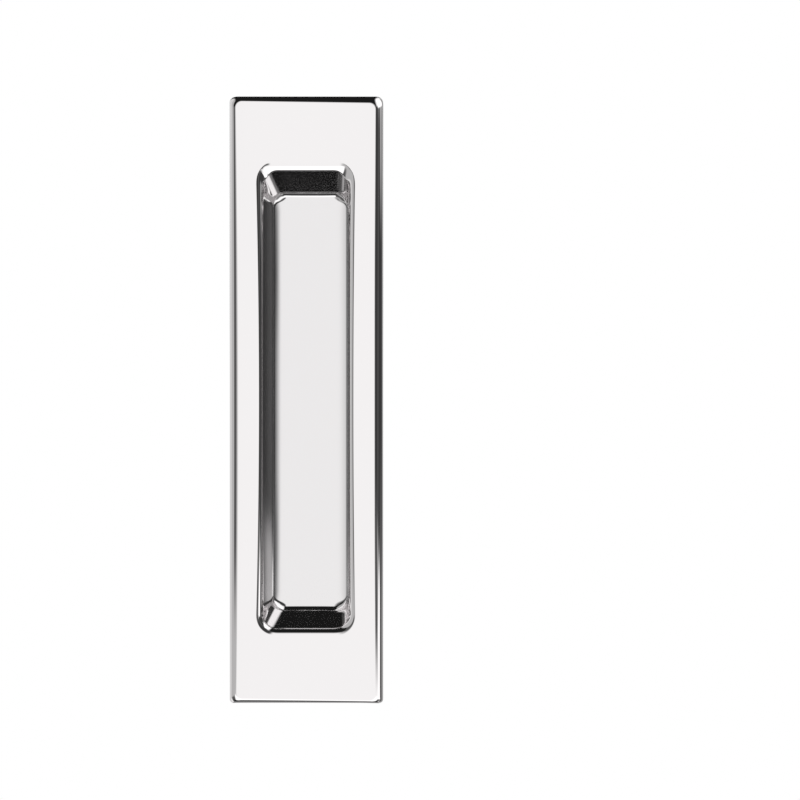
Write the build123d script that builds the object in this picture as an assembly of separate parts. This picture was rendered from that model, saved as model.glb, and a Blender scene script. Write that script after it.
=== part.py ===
from build123d import *
import os
from math import cos, radians, tan

# Flush pull for a sliding door: one zinc casting, polished and chromed.
# All sizes are in millimetres. The long side stands along Z and the front looks along -Y.
# The origin is in the middle of the seating plane, where the flange lies on the door.

# Flange
flange_length = 150.0
flange_width = 38.0
flange_thickness = 3.0
flange_edge_radius = 1.4
flange_corner_radius = 0.6

# Finger recess, measured where its walls would meet the front face with no lip radius
recess_length = 114.2
recess_width = 21.5
recess_depth = 10.5
side_wall_draft = 8.0
end_wall_draft = 19.0
lip_radius = 1.6
floor_blend_radius = 1.5
floor_corner_radius = 2.1

# Casting behind the face
cup_wall = 1.8
flange_skin = 2.0
seat_rim_width = 2.4
relief_corner_radius = 1.2
cup_root_radius = 1.0

# The recess corner holds the floor blend with the floor's own corner inside it.
recess_corner_radius = floor_blend_radius + floor_corner_radius
relief_depth = flange_thickness - flange_skin
clear_of_face = 1.0
closeness = 0.01


def plane_behind_face(depth):
    """Plane parallel to the front face and this deep behind it, looking out of the front."""
    return Plane.XZ.offset(flange_thickness - depth)


def at_depth(edges, depth):
    """Those edges whose middle lies this deep behind the face."""
    y = depth - flange_thickness
    return edges.filter_by_position(Axis.Y, y - closeness, y + closeness)


def size_at(mouth_size, draft, depth, wall):
    """Width or length of the recess at a depth, grown squarely to its walls by a wall."""
    return mouth_size + 2 * (wall / cos(radians(draft)) - depth * tan(radians(draft)))


def tapered_block(top, bottom, wall):
    """Block of the recess between two depths, grown by a wall, with its leaning corners rounded.

    It is what a wedge between the two side walls shares with a wedge between the two end walls.
    """
    height = bottom - top
    middle = (0, (top + bottom) / 2 - flange_thickness, 0)
    width = size_at(recess_width, side_wall_draft, top, wall)
    length = size_at(recess_length, end_wall_draft, top, wall)
    across = Plane(middle) * Trapezoid(width, height, 90 - side_wall_draft)
    along = Plane(middle, x_dir=(0, 0, 1), z_dir=(-1, 0, 0)) * Trapezoid(length, height, 90 - end_wall_draft)
    block = extrude(across, flange_length / 2, both=True) & extrude(along, flange_width / 2, both=True)
    return fillet(at_depth(block.edges(), (top + bottom) / 2), recess_corner_radius + wall)


def around_cup(edges):
    """Those edges whose middle is nearer to the cup than to the flange's rim."""
    half_width = (recess_width + flange_width) / 4
    half_length = (recess_length + flange_length) / 4
    near_side = edges.filter_by_position(Axis.X, -half_width, half_width)
    return near_side.filter_by_position(Axis.Z, -half_length, half_length)


def flange():
    """Plate with a rolled front edge and small upright corners."""
    blank = plane_behind_face(flange_thickness) * Rectangle(flange_width, flange_length)
    plate = extrude(blank, flange_thickness)
    plate = fillet(at_depth(plate.edges(), 0), flange_edge_radius)
    return fillet(plate.edges().filter_by(Axis.Y), flange_corner_radius)


def seat_relief():
    """Shallow pocket in the flange's back, inside the rim that lies on the door."""
    outline = RectangleRounded(
        flange_width - 2 * seat_rim_width,
        flange_length - 2 * seat_rim_width,
        relief_corner_radius,
    )
    return extrude(plane_behind_face(flange_thickness) * outline, relief_depth)


def cup():
    """Tapered outside of the cup, from inside the flange to its rounded bottom."""
    bottom = recess_depth + cup_wall
    body = tapered_block(flange_skin / 2, bottom, cup_wall)
    return fillet(at_depth(body.edges(), bottom), floor_blend_radius + cup_wall)


def recess():
    """Space for the fingers, with steep sides, sloped ends and a blended floor."""
    hollow = tapered_block(-clear_of_face, recess_depth, 0)
    return fillet(at_depth(hollow.edges(), recess_depth), floor_blend_radius)


def flush_pull():
    """The whole casting, with its lip rolled into the recess and its cup blended to the flange."""
    casting = flange() - seat_relief() + cup()
    root = around_cup(at_depth(casting.edges(), flange_skin))
    casting = fillet(root, cup_root_radius) - recess()
    mouth = around_cup(at_depth(casting.edges(), 0))
    return fillet(mouth, lip_radius)


os.makedirs("parts", exist_ok=True)
export_step(flush_pull(), "parts/flush_pull.step")
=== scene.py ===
"""Chromed flush pull of a sliding door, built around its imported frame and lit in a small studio.

The casting is one closed surface. Every ring of it is a rounded rectangle, and the rings follow
one another from the middle of the recess floor over the lip, the face and the flange's edge to
the middle of the cup's back. In the size fields lengths are millimetres and angles are degrees,
and the meshes are metres. A pair holds the values of the left and the right side, or of the
lower and the upper end.
"""

import logging
import math
from dataclasses import dataclass
from enum import Enum

import bmesh
import bpy
import numpy as np
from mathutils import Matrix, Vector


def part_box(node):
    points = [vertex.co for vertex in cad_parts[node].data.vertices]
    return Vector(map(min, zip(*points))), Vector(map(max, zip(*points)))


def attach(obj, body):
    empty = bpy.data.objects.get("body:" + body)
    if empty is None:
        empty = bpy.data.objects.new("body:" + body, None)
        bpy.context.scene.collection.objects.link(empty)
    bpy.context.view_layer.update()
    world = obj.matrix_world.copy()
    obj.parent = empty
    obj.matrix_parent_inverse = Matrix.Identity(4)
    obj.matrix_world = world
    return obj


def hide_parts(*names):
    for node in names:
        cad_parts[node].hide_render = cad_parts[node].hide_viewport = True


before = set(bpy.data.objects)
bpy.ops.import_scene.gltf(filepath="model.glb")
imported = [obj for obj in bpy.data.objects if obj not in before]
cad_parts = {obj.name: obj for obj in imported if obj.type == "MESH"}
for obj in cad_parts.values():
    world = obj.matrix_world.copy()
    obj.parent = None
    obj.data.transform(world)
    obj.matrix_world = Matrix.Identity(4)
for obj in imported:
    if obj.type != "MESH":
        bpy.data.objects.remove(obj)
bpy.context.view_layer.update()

LOG = logging.getLogger("flush_pull")
MM = 0.001
NODE = "flush_pull"
SLOT = "polished_chrome"
CORNERS = 4
MERGE_GAP = 1e-7  # metres
Pair = tuple[float, float]


def lift(plan: np.ndarray, height: np.ndarray | float) -> np.ndarray:
    """Stands a flat ring in space.

    Args:
        plan: Points as x and z.
        height: Their y, one value or one for each point.

    Returns:
        The points as x, y and z.
    """
    y = np.broadcast_to(height, plan.shape[:1])
    return np.stack([plan[:, 0], y, plan[:, 1]], axis=-1)


def between(start: np.ndarray, end: np.ndarray, shares: list[float]) -> np.ndarray:
    """Gives the rings that lie at some shares of the straight way from one ring to another.

    Args:
        start: The ring at share 0.
        end: The ring at share 1.
        shares: The shares, in order.

    Returns:
        One ring for each share.
    """
    return start + (end - start) * np.array(shares)[:, None, None]


def blend_arc(start: np.ndarray, corner: np.ndarray, end: np.ndarray, steps: int,
              fullness: np.ndarray | float = 1.0) -> np.ndarray:
    """Rounds a corner with a conic arc that leaves start and reaches end along its two legs.

    The arc is ((1-t)^2 A + 2 w t (1-t) C + t^2 B) / ((1-t)^2 + 2 w t (1-t) + t^2), where w is
    the fullness times the cosine of half of the turn. At fullness 1 it is a circle wherever the
    two legs are equally long, and at less it is flatter in its middle.

    Args:
        start: The ring of points A where the arc begins.
        corner: The ring of points C where the legs meet.
        end: The ring of points B where the arc ends.
        steps: Number of spans of the arc.
        fullness: Share of the circle's weight, one value or one for each point.

    Returns:
        The rings of the arc, both ends included.
    """
    leg_in = corner - start
    leg_out = end - corner
    norms = np.linalg.norm(leg_in, axis=1) * np.linalg.norm(leg_out, axis=1)
    cosine = np.clip((leg_in * leg_out).sum(axis=1) / norms, -1.0, 1.0)
    weight = (fullness * np.cos(np.arccos(cosine) / 2))[None, :, None]
    t = np.linspace(0.0, 1.0, steps + 1)[:, None, None]
    first, middle, last = (1 - t) ** 2, 2 * weight * t * (1 - t), t**2
    return (first * start + middle * corner + last * end) / (first + middle + last)


@dataclass(frozen=True)
class RingLayout:
    """How the surface is divided into rings, and every ring into points.

    A hold is a share of a strip's width: how near to the strip's edge its outermost ring lies,
    which keeps the shading flat up to there. The edge gap does the same for a filled flat, in
    millimetres.
    """

    corner_steps: int = 14
    long_steps: int = 36
    short_steps: int = 10
    arc_steps: int = 20
    root_steps: int = 10
    hold: float = 0.06
    long_hold: float = 0.015
    relief_hold: float = 0.03
    edge_gap: float = 0.06
    inner_share: float = 0.6

    def turn(self) -> np.ndarray:
        """Gives the direction, from +X towards +Z, in which the outline faces at each point.

        Returns:
            One angle in radians for each point on the four corners, in order round the ring.
        """
        quarter = np.linspace(0.0, math.pi / 2, self.corner_steps + 1)
        return np.concatenate([quarter + corner * math.pi / 2 for corner in range(CORNERS)])

    def ring(self, half_width: float, half_length: float, radius: float) -> np.ndarray:
        """Lays a rounded rectangle: each corner arc is its centre plus the radius along the turn.

        Args:
            half_width: Half of the outline's width along X.
            half_length: Half of its length along Z.
            radius: Radius of its corners.

        Returns:
            The points as an array of x and z, with the straight sides divided evenly.
        """
        turn = self.turn()
        sign_x = np.repeat([1.0, -1.0, -1.0, 1.0], self.corner_steps + 1)
        sign_z = np.repeat([1.0, 1.0, -1.0, -1.0], self.corner_steps + 1)
        x = sign_x * (half_width - radius) + radius * np.cos(turn)
        z = sign_z * (half_length - radius) + radius * np.sin(turn)
        return self.with_sides(np.stack([x, z], axis=-1))

    def with_sides(self, corners: np.ndarray) -> np.ndarray:
        """Puts evenly spaced values between the end of each corner and the start of the next.

        Args:
            corners: Values at the points of the four corners, one row a point.

        Returns:
            The values at all points of the ring, which closes onto its first point.
        """
        arcs = np.split(corners, CORNERS)
        rows = []
        for index, arc in enumerate(arcs):
            following = arcs[(index + 1) % CORNERS]
            steps = self.short_steps if index % 2 == 0 else self.long_steps
            share = np.linspace(0.0, 1.0, steps + 1)[1:-1, None]
            rows += [arc, arc[-1] + (following[0] - arc[-1]) * share]
        return np.concatenate(rows)

    def facing(self) -> np.ndarray:
        """Gives the outline's outward direction in its own plane, as x and z, at every point."""
        turn = self.turn()
        return self.with_sides(np.stack([np.cos(turn), np.sin(turn)], axis=-1))

    def diagonal(self) -> np.ndarray:
        """Gives sin^2 of twice the turn: 1 in the middle of a corner and 0 on the sides."""
        facing = self.facing()
        return (2 * facing[:, 0] * facing[:, 1]) ** 2

    def fill(self, plan: np.ndarray, y: float) -> np.ndarray:
        """Gives the rings that fill a flat from its spine out to its edge ring.

        The spine is a straight line along Z, and round it lies a long ring with half-round ends.

        Args:
            plan: The edge ring as x and z.
            y: Where the flat lies.

        Returns:
            The spine as a ring without width, then rings out to just inside the edge.
        """
        half_width, half_length = plan.max(axis=0)
        inner = self.inner_share * half_width
        reach = half_length - half_width + inner
        spine = lift(self.ring(0.0, reach - inner, 0.0), y)
        middle = lift(self.ring(inner, reach, inner), y)
        edge = lift(plan - self.facing() * self.edge_gap, y)
        return np.concatenate([between(spine, middle, [0.0, 0.5]),
                               between(middle, edge, [0.0, 0.25, 0.5, 0.75, 1.0])])


@dataclass(frozen=True)
class Taper:
    """A tapered wall between two planes, with each side and each end at its own draft.

    The sides and ends give how far each wall stands from the middle in the first plane.
    """

    layout: RingLayout
    sides: Pair
    ends: Pair
    corner: float
    depth: float
    side_drafts: Pair
    end_drafts: Pair

    def run(self, draft: float) -> float:
        """Gives how far a wall of this draft leans in over the whole depth."""
        return self.depth * math.tan(math.radians(draft))

    def ring(self, share: float) -> np.ndarray:
        """Gives the walls' outline at one depth.

        Args:
            share: Share of the way from the first plane to the second.

        Returns:
            The outline as x and z.
        """
        left, right = (side - share * self.run(draft)
                       for side, draft in zip(self.sides, self.side_drafts))
        low, high = (end - share * self.run(draft)
                     for end, draft in zip(self.ends, self.end_drafts))
        ring = self.layout.ring((left + right) / 2, (low + high) / 2, self.corner)
        return ring + np.array([(right - left) / 2, (high - low) / 2])

    def draft(self) -> np.ndarray:
        """Gives the wall's own draft at each point, from how far it leans in along its facing.

        Returns:
            One angle in radians for each point of the ring.
        """
        facing = self.layout.facing()
        side_run = np.where(facing[:, 0] < 0.0, *(self.run(draft) for draft in self.side_drafts))
        end_run = np.where(facing[:, 1] < 0.0, *(self.run(draft) for draft in self.end_drafts))
        lean = np.abs(facing[:, 0]) * side_run + np.abs(facing[:, 1]) * end_run
        return np.arctan(lean / self.depth)

    def reach(self, radius: np.ndarray | float) -> np.ndarray:
        """Gives the tangent length of a rounding between the wall and a plane across it."""
        return radius * np.tan((math.pi / 2 - self.draft()) / 2)

    def depth_of(self, length: np.ndarray) -> np.ndarray:
        """Gives how deep a length along the wall goes."""
        return length * np.cos(self.draft())

    def on_wall(self, share: np.ndarray, start: float) -> np.ndarray:
        """Gives a ring on the wall, with each point at its own share of the depth.

        Args:
            share: One share of the depth for each point.
            start: Where the first plane lies along Y.

        Returns:
            The points as x, y and z.
        """
        first, last = self.ring(0.0), self.ring(1.0)
        return lift(first + (last - first) * share[:, None], start + self.depth * share)


@dataclass(frozen=True)
class Recess:
    """The finger recess, with its walls, floor and lip as the polishing left them.

    The sides and ends give how far the walls stand from the middle where they meet the face. The
    lips and blends are radii, of the rounding at the face and of the one at the floor. A fullness
    of 1 makes such a rounding a circle, and less makes it flatter in its middle. The end's wall
    share says how deep the lip goes there for what it reaches into the face. The floor is dished
    across its width, with the slope at its sides and the power of its curve. A steep band lies
    between the wall and the lip at the lower end, and fades out round the corners.
    """

    layout: RingLayout
    front: float
    depth: float = 10.5
    corner: float = 3.6
    sides: Pair = (10.75, 10.5)
    ends: Pair = (57.1, 56.7)
    side_drafts: Pair = (8.0, 4.8)
    end_drafts: Pair = (19.9, 18.2)
    middle_lips: Pair = (1.0, 1.4)
    side_lips: Pair = (2.0, 1.95)
    end_lips: Pair = (2.5, 3.0)
    end_wall_share: float = 0.45
    side_fullness: Pair = (1.0, 0.6)
    end_fullness: float = 0.35
    corner_flatness: Pair = (0.0, 0.9)
    band_depth: float = 1.0
    band_draft: float = 7.0
    side_blends: Pair = (0.4, 0.4)
    end_blends: Pair = (2.2, 2.0)
    corner_blend: float = 0.6
    corner_fullness: float = 0.55
    dish_slopes: Pair = (9.0, 7.5)
    dish_powers: tuple[int, int] = (5, 4)

    def taper(self) -> Taper:
        """Gives the walls from the face to the floor."""
        return Taper(self.layout, self.sides, self.ends, self.corner, self.depth,
                     self.side_drafts, self.end_drafts)

    def half_floor(self, plan: np.ndarray) -> np.ndarray:
        """Gives how far the floor goes out from the middle on each point's side.

        Args:
            plan: Points as x and z, in the last axis.

        Returns:
            One length for each point.
        """
        taper = self.taper()
        halves = (side - taper.run(draft) for side, draft in zip(self.sides, self.side_drafts))
        return np.where(plan[..., 0] < 0.0, *halves)

    def dish(self, plan: np.ndarray) -> tuple[np.ndarray, np.ndarray, np.ndarray]:
        """Gives the dished floor's shape to the left and right of its middle.

        Args:
            plan: Points as x and z, in the last axis.

        Returns:
            For each point, the share of the floor's half that it is out, and the edge slope and
            the power there.
        """
        left = plan[..., 0] < 0.0
        share = np.abs(plan[..., 0]) / self.half_floor(plan)
        slope = np.where(left, *np.tan(np.radians(self.dish_slopes)))
        return share, slope, np.where(left, *self.dish_powers)

    def rise(self, plan: np.ndarray) -> np.ndarray:
        """Gives how far the dished floor rises towards the front, with a power of the share."""
        share, slope, power = self.dish(plan)
        return self.half_floor(plan) * slope / power * share ** power

    def steepness(self, plan: np.ndarray) -> np.ndarray:
        """Gives the dished floor's slope in the outline's facing direction."""
        share, slope, power = self.dish(plan)
        return slope * share ** (power - 1) * np.abs(self.layout.facing()[:, 0])

    def around(self, middles: Pair, sides: Pair, ends: Pair) -> np.ndarray:
        """Gives a radius that changes smoothly round the recess.

        Along the sides it grows from middle to side with the square of z. Round the corners it
        goes over to the end's radius with sin^2 of the turn.

        Args:
            middles: Radius at the middle of the left and of the right side.
            sides: Radius where the left and the right side end.
            ends: Radius at the lower and at the upper end.

        Returns:
            One radius for each point of the ring.
        """
        facing = self.layout.facing()
        along = self.taper().ring(0.0)[:, 1] / max(self.ends)
        left = facing[:, 0] < 0.0
        middle, side = np.where(left, *middles), np.where(left, *sides)
        end = np.where(facing[:, 1] < 0.0, *ends)
        side = middle + (side - middle) * along ** 2
        return side * facing[:, 0] ** 2 + end * facing[:, 1] ** 2

    def low_end(self) -> np.ndarray:
        """Gives 1 at the lower end and 0 from the sides up, with sin^2 of the turn between."""
        return np.clip(-self.layout.facing()[:, 1], 0.0, 1.0) ** 2

    def blend_reach(self) -> np.ndarray:
        """Gives how far the floor's blend reaches from the corner of wall and floor."""
        radius = self.around(self.side_blends, self.side_blends, self.end_blends)
        return self.taper().reach(radius + self.corner_blend * self.layout.diagonal())

    def lip_reach(self) -> np.ndarray:
        """Gives how far the lip reaches into the face from the corner of wall and face."""
        return self.taper().reach(self.around(self.middle_lips, self.side_lips, self.end_lips))

    def lip_depth(self) -> np.ndarray:
        """Gives how deep the lip goes, which is a smaller share of its reach at the ends.

        Returns:
            One depth for each point of the ring.
        """
        facing = self.layout.facing()
        share = facing[:, 0] ** 2 + self.end_wall_share * facing[:, 1] ** 2
        return self.taper().depth_of(self.lip_reach() * share)

    def lip_fullness(self) -> np.ndarray:
        """Gives the fullness of the lip's arc, which is less at the ends and in two corners.

        Returns:
            One fullness for each point of the ring.
        """
        facing = self.layout.facing()
        side = np.where(facing[:, 0] < 0.0, *self.side_fullness)
        fullness = side * facing[:, 0] ** 2 + self.end_fullness * facing[:, 1] ** 2
        flatness = np.where(facing[:, 1] < 0.0, *self.corner_flatness)
        return fullness * (1.0 - flatness * self.layout.diagonal())

    def wall_low(self) -> np.ndarray:
        """Gives the ring where the wall ends above the floor's blend."""
        taper = self.taper()
        return taper.on_wall(1.0 - taper.depth_of(self.blend_reach()) / self.depth, self.front)

    def wall_high(self) -> np.ndarray:
        """Gives the ring where the wall ends under the band and the lip."""
        depth = self.lip_depth() + self.band_depth * self.low_end()
        return self.taper().on_wall(depth / self.depth, self.front)

    def floor_rings(self) -> list[np.ndarray]:
        """Works out the dished floor and its blend into the walls.

        The blend's corner C lies where the wall's line meets the floor's slope, drawn on from the
        floor's edge. With slope s, lean k, reach r and the edge's rise h it stands
        (h + s r) / (1 - s k) above the floor's lowest line.

        Returns:
            Groups of rings, in order.
        """
        taper, facing, reach = self.taper(), self.layout.facing(), self.blend_reach()
        floor, back = taper.ring(1.0), self.front + self.depth
        edge = floor - facing * reach[:, None]
        lean, steep = np.tan(taper.draft()), self.steepness(edge)
        up = (self.rise(edge) + steep * reach) / (1.0 - steep * lean)
        corner = lift(floor + facing * (up * lean)[:, None], back - up)
        fullness = 1.0 - (1.0 - self.corner_fullness) * self.layout.diagonal()
        dished = self.layout.fill(edge, back)
        dished[..., 1] -= self.rise(dished)
        return [dished, blend_arc(lift(edge, back - self.rise(edge)), corner, self.wall_low(),
                                  self.layout.arc_steps, fullness)]

    def lip_rings(self) -> list[np.ndarray]:
        """Works out the steep band and the lip that is rolled into the face.

        Returns:
            Groups of rings, in order.
        """
        facing, low_end, hold = self.layout.facing(), self.low_end(), self.layout.hold
        band = self.band_depth * low_end
        lean = np.tan(self.taper().draft() * (1.0 - low_end)
                      + math.radians(self.band_draft) * low_end)
        up = lift(facing * lean[:, None], -1.0)
        start = self.wall_high()
        band_top = start + up * band[:, None]
        corner = band_top + up * self.lip_depth()[:, None]
        edge = corner + lift(facing, 0.0) * self.lip_reach()[:, None]
        return [between(start, band_top, [hold, 1 - hold]),
                blend_arc(band_top, corner, edge, self.layout.arc_steps, self.lip_fullness())]

    def rings(self) -> list[np.ndarray]:
        """Works out the whole recess from the floor's middle to the lip's edge in the face.

        Returns:
            Groups of rings, in order.
        """
        hold = self.layout.long_hold
        wall = between(self.wall_low(), self.wall_high(), [hold, 0.25, 0.5, 0.75, 1 - hold])
        return [*self.floor_rings(), wall, *self.lip_rings()]


@dataclass(frozen=True)
class Flange:
    """The flange: its face, its unevenly polished front edge, its side and its relieved back.

    The insets give how far inside the outline the face ends, and the bows how much further it
    does so at the middle of the long sides. The plan radii are those of the flange's corners, and
    the polished corners those of the outline towards which the front edge's arc bends.
    """

    layout: RingLayout
    half_width: float
    half_length: float
    front: float
    edge_depth: float = 1.6
    side_insets: Pair = (1.75, 1.88)
    end_insets: Pair = (1.2, 1.9)
    face_lean: float = 0.3
    face_bows: Pair = (0.62, 0.3)
    left_taper: float = 0.2
    face_corner: float = 1.6
    polished_corners: Pair = (1.2, 3.5)
    plan_radii: Pair = (0.9, 1.5)
    corner_zone: float = 4.0
    skin: float = 2.0
    rim_width: float = 2.4
    relief_corner: float = 1.2

    def outline(self, radii: Pair) -> np.ndarray:
        """Gives the flange's outline with its own corner radius at each end.

        Between the corner zones the points go over from those of the one radius to those of the
        other in proportion to z, which moves them only along their straight lines.

        Args:
            radii: Corner radius at the lower and at the upper end.

        Returns:
            The outline as x and z.
        """
        low, high = (self.layout.ring(self.half_width, self.half_length, radius)
                     for radius in radii)
        span = 2 * (self.half_length - self.corner_zone)
        return low + (high - low) * np.clip(0.5 + low[:, 1:] / span, 0.0, 1.0)

    def face_ring(self) -> np.ndarray:
        """Gives the face's outline, whose inset the polishing left different from side to side.

        Returns:
            The outline as x and z, a rounded rectangle moved off the middle, leaned along X,
            drawn in by a bow of its own at the middle of each long side, and tapered downwards
            on the left.
        """
        (left, right), (bottom, top) = self.side_insets, self.end_insets
        plan = self.layout.ring(self.half_width - (left + right) / 2,
                                self.half_length - (bottom + top) / 2, self.face_corner)
        left_side, along = plan[:, 0] < 0.0, plan[:, 1] / self.half_length
        inward = np.where(left_side, *self.face_bows) * (1.0 - along ** 2)
        inward = inward + left_side * self.left_taper * (1.0 - along) / 2
        plan[:, 0] *= 1.0 - inward / self.half_width
        plan = plan + np.array([(left - right) / 2, (bottom - top) / 2])
        plan[:, 1] -= self.face_lean * plan[:, 0] / self.half_width
        return plan

    def edge_rings(self) -> list[np.ndarray]:
        """Works out the rounded front edge from the face's outline, and the side down to the seat.

        Returns:
            Groups of rings, in order.
        """
        hold, side = self.layout.hold, self.front + self.edge_depth
        face, outline = lift(self.face_ring(), self.front), self.outline(self.plan_radii)
        corner = lift(self.outline(self.polished_corners), self.front)
        return [blend_arc(face, corner, lift(outline, side), self.layout.arc_steps),
                between(lift(outline, side), lift(outline, 0.0), [hold, 1 - hold])]

    def skin_back(self) -> float:
        """Gives where the back of the flange's skin lies along Y."""
        return self.front + self.skin

    def seat_rings(self) -> list[np.ndarray]:
        """Works out the rim that lies on the door, and the step from it into the relief.

        Returns:
            Groups of rings, in order.
        """
        hold, outline = self.layout.hold, self.outline(self.plan_radii)
        relief = self.layout.ring(self.half_width - self.rim_width,
                                  self.half_length - self.rim_width, self.relief_corner)
        return [between(lift(outline, 0.0), lift(relief, 0.0), [0.0, hold, 1 - hold, 1.0]),
                between(lift(relief, 0.0), lift(relief, self.skin_back()), [hold, 1 - hold, 1.0])]


@dataclass(frozen=True)
class Cup:
    """The cup behind the flange, parallel to the recess as the solid has it, before polishing."""

    layout: RingLayout
    start: float
    skin: float
    recess_width: float = 21.5
    recess_length: float = 114.2
    recess_depth: float = 10.5
    recess_corner: float = 3.6
    side_draft: float = 8.0
    end_draft: float = 19.0
    wall: float = 1.8
    blend: float = 3.3
    root_radius: float = 1.0

    def margin(self, draft: float) -> float:
        """Gives how far a wall's outside, where it starts, is out from the recess's mouth."""
        lean = math.radians(draft)
        return self.wall / math.cos(lean) - self.skin * math.tan(lean)

    def taper(self) -> Taper:
        """Gives the cup's outside from the skin's back to its bottom.

        Returns:
            The taper, with the same draft on both sides and on both ends.
        """
        half_width = self.recess_width / 2 + self.margin(self.side_draft)
        half_length = self.recess_length / 2 + self.margin(self.end_draft)
        return Taper(self.layout, (half_width, half_width), (half_length, half_length),
                     self.recess_corner + self.wall, self.recess_depth + self.wall - self.skin,
                     (self.side_draft, self.side_draft), (self.end_draft, self.end_draft))

    def rings(self, relief: np.ndarray) -> list[np.ndarray]:
        """Works out the skin's back, the cup's root, its wall and its blended bottom.

        Args:
            relief: The ring where the skin's back begins.

        Returns:
            Groups of rings, in order, to the middle of the bottom.
        """
        layout, taper = self.layout, self.taper()
        facing, hold = layout.facing(), layout.long_hold
        bottom_y = self.start + taper.depth
        top, bottom = taper.ring(0.0), taper.ring(1.0)
        root_reach, end_reach = taper.reach(self.root_radius), taper.reach(self.blend)
        wall_root = taper.on_wall(taper.depth_of(root_reach) / taper.depth, self.start)
        wall_end = taper.on_wall(1.0 - taper.depth_of(end_reach) / taper.depth, self.start)
        root_edge = lift(top + facing * root_reach[:, None], self.start)
        bottom_edge = bottom - facing * end_reach[:, None]
        return [
            between(relief, root_edge, [layout.relief_hold, 0.5, 1 - hold]),
            blend_arc(root_edge, lift(top, self.start), wall_root, layout.root_steps),
            between(wall_root, wall_end, [hold, 0.5, 1 - hold]),
            blend_arc(wall_end, lift(bottom, bottom_y), lift(bottom_edge, bottom_y),
                      layout.arc_steps),
            layout.fill(bottom_edge, bottom_y)[::-1],
        ]


@dataclass
class FlushPull:
    """The casting: flange, finger recess and cup, joined into one closed surface."""

    layout: RingLayout = RingLayout()

    def __post_init__(self) -> None:
        """Takes the flange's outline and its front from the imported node's box."""
        low, high = (np.array(corner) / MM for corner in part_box(NODE))
        self.flange = Flange(self.layout, float(high[0]), float(high[2]), float(low[1]))
        self.recess = Recess(self.layout, self.flange.front)
        self.cup = Cup(self.layout, self.flange.skin_back(), self.flange.skin)

    def build(self) -> bpy.types.Object:
        """Joins the rings, with a value that is 1 where the plate is unpolished.

        Returns:
            The casting's object, at the origin.
        """
        hold = self.layout.long_hold
        inside, edge, seat = self.recess.rings(), self.flange.edge_rings(), self.flange.seat_rings()
        face = between(inside[-1][-1], edge[0][0], [hold, 0.5, 1 - hold])
        front = np.concatenate([*inside, face, *edge])
        back = np.concatenate([*seat, *self.cup.rings(seat[-1][-1])])
        unpolished = np.repeat([0.0, 1.0], [front[..., 0].size, back[..., 0].size])
        return surface_of("casting", np.concatenate([front, back]) * MM, "unpolished", unpolished)


def surface_of(name: str, rings: np.ndarray, label: str, value: np.ndarray) -> bpy.types.Object:
    """Makes a closed mesh from rings whose first and last have no width.

    Quads join each ring to the next, and merging the points that are nearer to each other than
    the merge gap closes both ends.

    Args:
        name: Name of the object.
        rings: Points in metres, as an array of rings, points round a ring, and x, y, z.
        label: Name of the attribute that is kept at the points.
        value: The attribute's number at each point.

    Returns:
        The new object.
    """
    rows, count = rings.shape[:2]
    index = np.arange(rows * count).reshape(rows, count)
    ahead = np.roll(index, -1, axis=1)
    quads = np.stack([index[:-1], index[1:], ahead[1:], ahead[:-1]], axis=-1).reshape(-1, 4)
    mesh = bpy.data.meshes.new(name)
    mesh.from_pydata(rings.reshape(-1, 3).tolist(), [], quads.tolist())
    mesh.attributes.new(label, "FLOAT", "POINT").data.foreach_set("value", value)
    shell = bmesh.new()
    shell.from_mesh(mesh)
    bmesh.ops.remove_doubles(shell, verts=shell.verts, dist=MERGE_GAP)
    shell.to_mesh(mesh)
    shell.free()
    mesh.shade_smooth()
    mesh.update()
    made = bpy.data.objects.new(name, mesh)
    bpy.context.scene.collection.objects.link(made)
    return made


class ShaderGraph:
    """A material's or group's nodes, with short calls to add and join them.

    A feed is what a socket takes: a constant, or another node's output.
    """

    def __init__(self, tree: bpy.types.NodeTree) -> None:
        """Starts on an empty node tree."""
        self.tree = tree
        tree.nodes.clear()

    def add(self, kind: str, inputs: dict | None = None, **settings: object) -> bpy.types.Node:
        """Adds a node.

        Args:
            kind: The node's type name.
            inputs: Socket names or numbers, each with its feed.
            settings: Attributes of the node itself.

        Returns:
            The node.
        """
        node = self.tree.nodes.new(kind)
        for key, setting in settings.items():
            setattr(node, key, setting)
        for key, feed in (inputs or {}).items():
            if isinstance(feed, bpy.types.NodeSocket):
                self.tree.links.new(feed, node.inputs[key])
            else:
                node.inputs[key].default_value = feed
        return node

    def combine(self, operation: str, first: object, second: object) -> bpy.types.NodeSocket:
        """Joins two numbers by an operation of the Math node."""
        return self.add("ShaderNodeMath", {0: first, 1: second}, operation=operation).outputs[0]

    def mix(self, share: object, first: object, second: object) -> bpy.types.NodeSocket:
        """Mixes two numbers, from the first at share 0 to the second at share 1."""
        feeds = {0: share, 2: first, 3: second}
        return self.add("ShaderNodeMix", feeds, data_type="FLOAT").outputs[0]

    def mix_colors(self, share: object, first: object, second: object) -> bpy.types.NodeSocket:
        """Mixes two colours, from the first at share 0 to the second at share 1."""
        feeds = {0: share, 6: first, 7: second}
        return self.add("ShaderNodeMix", feeds, data_type="RGBA").outputs[2]

    def carry(self, number: object, into: Pair,
              out_of: Pair = (0.0, 1.0)) -> bpy.types.NodeSocket:
        """Carries a number out of one range into another one, and keeps it in there."""
        feeds = {"Value": number, "From Min": out_of[0], "From Max": out_of[1],
                 "To Min": into[0], "To Max": into[1]}
        return self.add("ShaderNodeMapRange", feeds).outputs[0]


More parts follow.
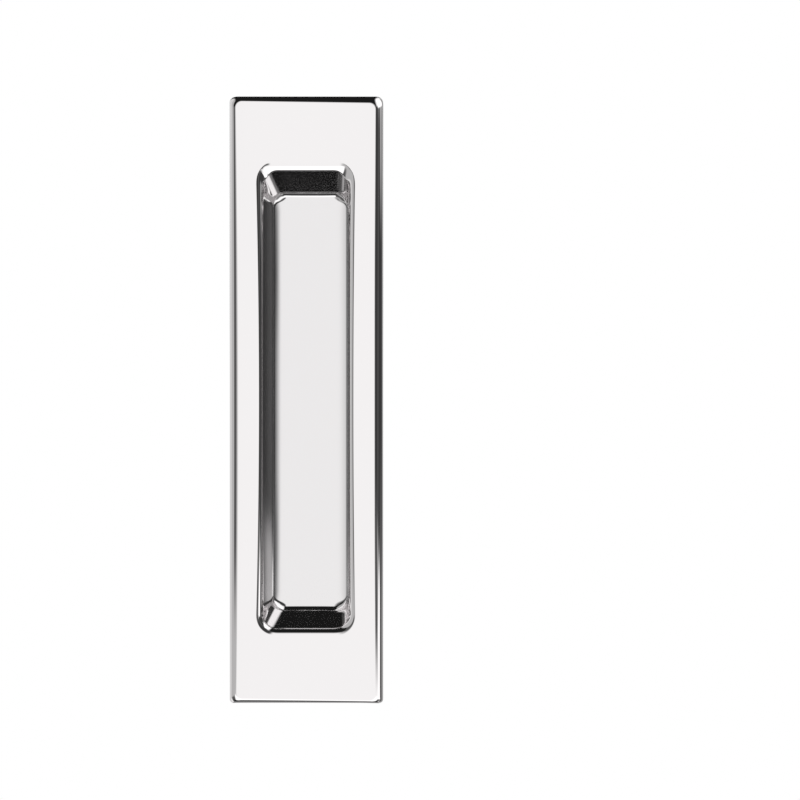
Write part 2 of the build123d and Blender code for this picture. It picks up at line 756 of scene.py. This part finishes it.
@dataclass(frozen=True)
class PolishGroup:
    """Shader group for the small unevenness of a buffed and plated casting."""

    name: str = "buffed_plate"
    haze_detail: float = 3.0
    haze_roughness: float = 0.6
    wave_detail: float = 1.0

    def make(self) -> bpy.types.NodeTree:
        """Builds the group: soft haze for the roughness, and slow waves as a height.

        Returns:
            The group's node tree, with a scale for each of the two.
        """
        tree = bpy.data.node_groups.new(self.name, "ShaderNodeTree")
        for label, way in (("Wave Scale", "INPUT"), ("Haze Scale", "INPUT"),
                           ("Haze", "OUTPUT"), ("Height", "OUTPUT")):
            tree.interface.new_socket(label, in_out=way, socket_type="NodeSocketFloat")
        graph = ShaderGraph(tree)
        given = graph.add("NodeGroupInput").outputs
        place = graph.add("ShaderNodeTexCoord").outputs["Object"]
        haze = graph.add("ShaderNodeTexNoise", {"Vector": place, "Scale": given["Haze Scale"],
                                                "Detail": self.haze_detail,
                                                "Roughness": self.haze_roughness})
        wave = graph.add("ShaderNodeTexNoise", {"Vector": place, "Scale": given["Wave Scale"],
                                                "Detail": self.wave_detail})
        graph.add("NodeGroupOutput", {"Haze": haze.outputs["Fac"], "Height": wave.outputs["Fac"]})
        return tree


@dataclass(frozen=True)
class ChromePlate:
    """Mirror chrome in front and in the recess, its tint darker deeper in the recess as painted
    shade, and duller plate over the cast skin behind.
    """

    color: tuple[float, float, float] = (0.9, 0.88, 0.882)
    # A darker tint deeper in the recess: painted shade.
    recess_shade_color: tuple[float, float, float] = (0.835, 0.82, 0.823)
    back_color: tuple[float, float, float] = (0.62, 0.62, 0.63)
    roughness: float = 0.03
    recess_roughness: float = 0.085
    recess_start: float = 3.0
    back_roughness: float = 0.34
    haze_scale: float = 220.0
    haze_range: Pair = (0.8, 1.2)
    wave_scale: float = 60.0
    wave_height: float = 0.01

    def make(self, group: bpy.types.NodeTree, front: float) -> bpy.types.Material:
        """Builds the material.

        Args:
            group: The shader group of the buffed plate.
            front: Where the face lies along Y, in millimetres. The polish gets softer behind it,
                and the tint darker as painted shade.

        Returns:
            The material.
        """
        material = bpy.data.materials.new(SLOT)
        material.use_nodes = True
        graph = ShaderGraph(material.node_tree)
        raw = graph.add("ShaderNodeAttribute", attribute_name="unpolished").outputs["Fac"]
        plate = graph.add("ShaderNodeGroup", {"Wave Scale": self.wave_scale,
                                              "Haze Scale": self.haze_scale},
                          node_tree=group).outputs
        place = graph.add("ShaderNodeTexCoord").outputs["Object"]
        depth = graph.add("ShaderNodeSeparateXYZ", {0: place}).outputs["Y"]
        inside = graph.carry(depth, (0.0, 1.0), (front * MM, (front + self.recess_start) * MM))
        # The tint goes darker from the face into the recess: painted shade.
        tint_with_recess_shade = graph.mix_colors(inside, (*self.color, 1.0), (*self.recess_shade_color, 1.0))
        tint = graph.mix_colors(raw, tint_with_recess_shade, (*self.back_color, 1.0))
        polish = graph.combine("MULTIPLY",
                               graph.carry(inside, (self.roughness, self.recess_roughness)),
                               graph.carry(plate["Haze"], self.haze_range))
        bump = graph.add("ShaderNodeBump", {"Height": plate["Height"], "Strength": 1.0,
                                            "Distance": self.wave_height * MM})
        shader = graph.add("ShaderNodeBsdfPrincipled", {
            "Base Color": tint, "Metallic": 1.0, "Normal": bump.outputs["Normal"],
            "Roughness": graph.mix(raw, polish, self.back_roughness)})
        graph.add("ShaderNodeOutputMaterial", {"Surface": shader.outputs[0]})
        return material


class CardTone(Enum):
    """How bright a studio card looks in a mirror."""

    BLACK = 0.012
    SHADE = 0.045
    DARK = 0.1
    DIM = 0.2
    HALF = 0.32
    GREY = 0.5
    PALE = 0.7
    LAMP = 1.25


class Hang(Enum):
    """Which axis through the pull a card is bent round."""

    UPRIGHT = "upright"
    LEVEL = "level"


@dataclass(frozen=True)
class SoftCard:
    """A card with soft edges, on the dome round the pull.

    The sweep is the angle from the front: round the upright axis to the right, or round the level
    axis over the top. The rise is the angle up out of that turn's plane, or to the right of it.
    """

    name: str
    tone: CardTone
    hang: Hang
    sweep: Pair
    rise: Pair
    soft: float

    def cover(self, direction: np.ndarray) -> np.ndarray:
        """Gives how far the card covers each direction, from 0 to 1.

        With s = clip(margin / soft + 1/2, 0, 1), the cover is the product over sweep and rise of
        3 s^2 - 2 s^3, where the margin is the angle to the nearer side of the card.

        Args:
            direction: Unit vectors, one row each.

        Returns:
            One cover for each direction.
        """
        along, ahead, aside = direction[:, 0], -direction[:, 1], direction[:, 2]
        if self.hang is Hang.LEVEL:
            along, aside = aside, along
        sweep = np.degrees(np.arctan2(along, ahead))
        rise = np.degrees(np.arcsin(np.clip(aside, -1.0, 1.0)))
        cover = np.ones(len(direction))
        for angle, (low, high) in ((sweep, self.sweep), (rise, self.rise)):
            share = np.clip(np.minimum(angle - low, high - angle) / self.soft + 0.5, 0.0, 1.0)
            cover = cover * share ** 2 * (3.0 - 2.0 * share)
        return cover


# The cards in the order in which they are laid: a later one lies over those before it.
CARDS = (
    SoftCard("right_back", CardTone.HALF, Hang.UPRIGHT, (66.0, 179.0), (-60.0, 60.0), 12.0),
    SoftCard("right_end", CardTone.PALE, Hang.UPRIGHT, (136.0, 179.0), (-60.0, 60.0), 16.0),
    SoftCard("right_flag", CardTone.SHADE, Hang.UPRIGHT, (3.5, 104.0), (-10.0, 17.0), 8.0),
    SoftCard("right_top_flag", CardTone.SHADE, Hang.UPRIGHT, (4.0, 64.0), (8.0, 30.0), 8.0),
    SoftCard("right_gap", CardTone.DARK, Hang.UPRIGHT, (32.0, 42.0), (-7.0, 24.0), 8.0),
    SoftCard("right_low_card", CardTone.GREY, Hang.UPRIGHT, (22.0, 38.0), (-12.5, -6.5), 3.5),
    SoftCard("right_low_flag", CardTone.DARK, Hang.UPRIGHT, (4.0, 30.0), (-16.0, -4.5), 6.0),
    SoftCard("right_far_flag", CardTone.DARK, Hang.UPRIGHT, (60.0, 92.0), (-60.0, -3.0), 10.0),
    SoftCard("left_wall", CardTone.GREY, Hang.UPRIGHT, (-80.0, -15.0), (-30.0, 60.0), 10.0),
    SoftCard("left_screen", CardTone.PALE, Hang.UPRIGHT, (-125.0, -80.0), (-60.0, 60.0), 16.0),
    SoftCard("left_flag", CardTone.DARK, Hang.UPRIGHT, (-46.0, -24.0), (-11.0, 34.0), 8.0),
    SoftCard("left_top_flag", CardTone.BLACK, Hang.UPRIGHT, (-46.0, -20.0), (24.0, 44.0), 6.0),
    SoftCard("left_low_flag", CardTone.DARK, Hang.UPRIGHT, (-62.0, -28.0), (-60.0, -23.0), 10.0),
    SoftCard("upper_lamp", CardTone.LAMP, Hang.UPRIGHT, (30.0, 100.0), (25.0, 66.0), 7.0),
    SoftCard("ceiling_flag", CardTone.BLACK, Hang.LEVEL, (28.0, 172.0), (-31.0, 15.0), 8.0),
    SoftCard("low_lamp", CardTone.LAMP, Hang.LEVEL, (-60.0, -21.5), (-24.0, 36.0), 6.0),
    SoftCard("lower_lamp", CardTone.LAMP, Hang.UPRIGHT, (42.0, 58.0), (-40.0, -9.5), 4.0),
    SoftCard("corner_flag", CardTone.DIM, Hang.UPRIGHT, (24.0, 58.0), (-54.0, -34.0), 8.0),
    SoftCard("low_back_flag", CardTone.DIM, Hang.LEVEL, (-114.0, -58.0), (-30.0, 24.0), 6.0),
    SoftCard("low_flag", CardTone.BLACK, Hang.LEVEL, (-66.0, -44.0), (-31.0, 25.0), 6.0),
)


@dataclass(frozen=True)
class StudioDome:
    """White dome round the pull with its cards, seen only in mirrors. Its radius is in metres."""

    cards: tuple[SoftCard, ...] = CARDS
    radius: float = 1.0
    steps: int = 180

    def tone(self, direction: np.ndarray) -> np.ndarray:
        """Gives the dome's brightness: white, with each card laid over what is there before it.

        Args:
            direction: Unit vectors, one row each.

        Returns:
            One brightness for each direction.
        """
        tone = np.ones(len(direction))
        for card in self.cards:
            cover = card.cover(direction)
            tone = tone * (1.0 - cover) + card.tone.value * cover
        return tone

    def build(self) -> bpy.types.Object:
        """Makes the dome on a grid of two angles round the level axis from side to side.

        With polar angle p and turn q a point is the radius times
        (cos p, -sin p cos q, sin p sin q).

        Returns:
            The dome's object.
        """
        polar = np.linspace(0.0, math.pi, self.steps + 1)[:, None]
        turn = np.linspace(0.0, 2 * math.pi, 2 * self.steps, endpoint=False)[None, :]
        flat = np.zeros_like(turn)
        direction = np.stack([np.cos(polar) + flat, -np.sin(polar) * np.cos(turn),
                              np.sin(polar) * np.sin(turn)], axis=-1)
        tone = self.tone(direction.reshape(-1, 3))
        dome = surface_of("dome", direction * self.radius, "tone", tone)
        dome.data.materials.append(self.paint())
        dome.visible_camera = False
        dome.visible_diffuse = False
        dome.visible_shadow = False
        dome.visible_transmission = False
        LOG.info("dome with %d cards", len(self.cards))
        return dome

    def paint(self) -> bpy.types.Material:
        """Makes the glow that takes its strength from the dome's tone.

        Returns:
            The material.
        """
        material = bpy.data.materials.new("dome_glow")
        material.use_nodes = True
        material.cycles.emission_sampling = "NONE"
        graph = ShaderGraph(material.node_tree)
        tone = graph.add("ShaderNodeAttribute", attribute_name="tone").outputs["Fac"]
        glow = graph.add("ShaderNodeEmission", {"Strength": tone})
        graph.add("ShaderNodeOutputMaterial", {"Surface": glow.outputs[0]})
        return material


@dataclass(frozen=True)
class Studio:
    """Floor, white surroundings, dome, lamp and camera.

    The flange's pixels and the pull's column and row say where the pull stands in a picture of
    that size. The floor's size and drop are metres.
    """

    picture_size: float = 800.0
    flange_pixels: float = 606.0
    pull_column: float = 306.4
    pull_row: float = 399.9
    camera_distance: float = 240.0
    camera_drop: float = 12.0
    sensor: float = 36.0
    ambient: float = 0.4
    floor_size: float = 6.0
    floor_drop: float = 1.2
    floor_color: tuple[float, float, float] = (0.9, 0.9, 0.9)
    floor_glow: float = 0.5
    lamp_strength: float = 0.8
    lamp_spread: float = 50.0
    lamp_turn: tuple[float, float, float] = (30.0, 0.0, 15.0)

    def light_path(self, graph: ShaderGraph) -> bpy.types.NodeSocket:
        """Gives 1 to the rays of the camera and of mirror and glass, and 0 to the rest.

        Args:
            graph: The nodes to add to.

        Returns:
            The socket with that number.
        """
        path = graph.add("ShaderNodeLightPath").outputs
        seen = graph.combine("MAXIMUM", path["Is Camera Ray"], path["Is Glossy Ray"])
        return graph.combine("MAXIMUM", seen, path["Is Transmission Ray"])

    def surroundings(self) -> None:
        """Makes the world white to the camera and to mirrors, and softer as a light."""
        world = bpy.data.worlds.new("studio")
        bpy.context.scene.world = world
        world.use_nodes = True
        graph = ShaderGraph(world.node_tree)
        strength = graph.carry(self.light_path(graph), (self.ambient, 1.0))
        sky = graph.add("ShaderNodeBackground", {"Color": (1.0, 1.0, 1.0, 1.0),
                                                  "Strength": strength})
        graph.add("ShaderNodeOutputWorld", {"Surface": sky.outputs[0]})

    def floor(self, level: float) -> bpy.types.Object:
        """Lays the pale floor.

        Args:
            level: Height of the floor in metres.

        Returns:
            The floor's object.
        """
        half = self.floor_size / 2
        x, y = np.meshgrid([-half, half], [-half, half])
        points = np.stack([x, y, np.full_like(x, level)], axis=-1).reshape(-1, 3)
        mesh = bpy.data.meshes.new("floor")
        mesh.from_pydata(points.tolist(), [], [(0, 1, 3, 2)])
        material = bpy.data.materials.new("pale_floor")
        material.use_nodes = True
        graph = ShaderGraph(material.node_tree)
        matt = graph.add("ShaderNodeBsdfDiffuse", {"Color": (*self.floor_color, 1.0)})
        fill = graph.combine("MULTIPLY", self.light_path(graph), self.floor_glow)
        glow = graph.add("ShaderNodeEmission", {"Strength": fill})
        both = graph.add("ShaderNodeAddShader", {0: matt.outputs[0], 1: glow.outputs[0]})
        graph.add("ShaderNodeOutputMaterial", {"Surface": both.outputs[0]})
        mesh.materials.append(material)
        floor = bpy.data.objects.new("floor", mesh)
        bpy.context.scene.collection.objects.link(floor)
        return floor

    def lamp(self) -> None:
        """Adds one broad soft light from above the front, which no mirror shows as a spot."""
        light = bpy.data.lights.new("soft_light", "SUN")
        light.energy = self.lamp_strength
        light.angle = math.radians(self.lamp_spread)
        holder = bpy.data.objects.new("soft_light", light)
        holder.rotation_euler = [math.radians(angle) for angle in self.lamp_turn]
        holder.visible_glossy = False
        bpy.context.scene.collection.objects.link(holder)

    def camera(self, flange: Flange) -> None:
        """Places the camera so that the pull stands where the picture has it.

        Args:
            flange: The flange, whose length sets the scale of the picture.
        """
        scale = 2 * flange.half_length / self.flange_pixels
        across = self.picture_size * scale
        outline_y = flange.front + flange.edge_depth
        data = bpy.data.cameras.new("camera")
        data.sensor_width = self.sensor
        data.lens = self.sensor * self.camera_distance / across
        middle = self.picture_size / 2
        data.shift_y = (self.camera_drop - (middle - self.pull_row) * scale) / across
        holder = bpy.data.objects.new("camera", data)
        holder.location = ((middle - self.pull_column) * scale * MM,
                           (outline_y - self.camera_distance) * MM, -self.camera_drop * MM)
        holder.rotation_euler = (math.pi / 2, 0.0, 0.0)
        bpy.context.scene.collection.objects.link(holder)
        bpy.context.scene.camera = holder

    def build(self, flange: Flange) -> None:
        """Sets up the whole studio round the casting.

        Args:
            flange: The flange of the casting that stands in it.
        """
        bpy.context.scene.view_settings.view_transform = "Standard"
        self.surroundings()
        floor = self.floor(-self.floor_drop)
        StudioDome().build()
        self.lamp()
        self.camera(flange)


def main() -> None:
    """Builds the casting, dresses it, and sets up the studio."""
    logging.basicConfig(level=logging.INFO)
    pull = FlushPull()
    casting = pull.build()
    casting.data.materials.append(ChromePlate().make(PolishGroup().make(), pull.flange.front))
    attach(casting, "root")
    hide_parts(NODE)
    LOG.info("casting with %d faces", len(casting.data.polygons))
    Studio().build(pull.flange)


if __name__ == "__main__":
    main()
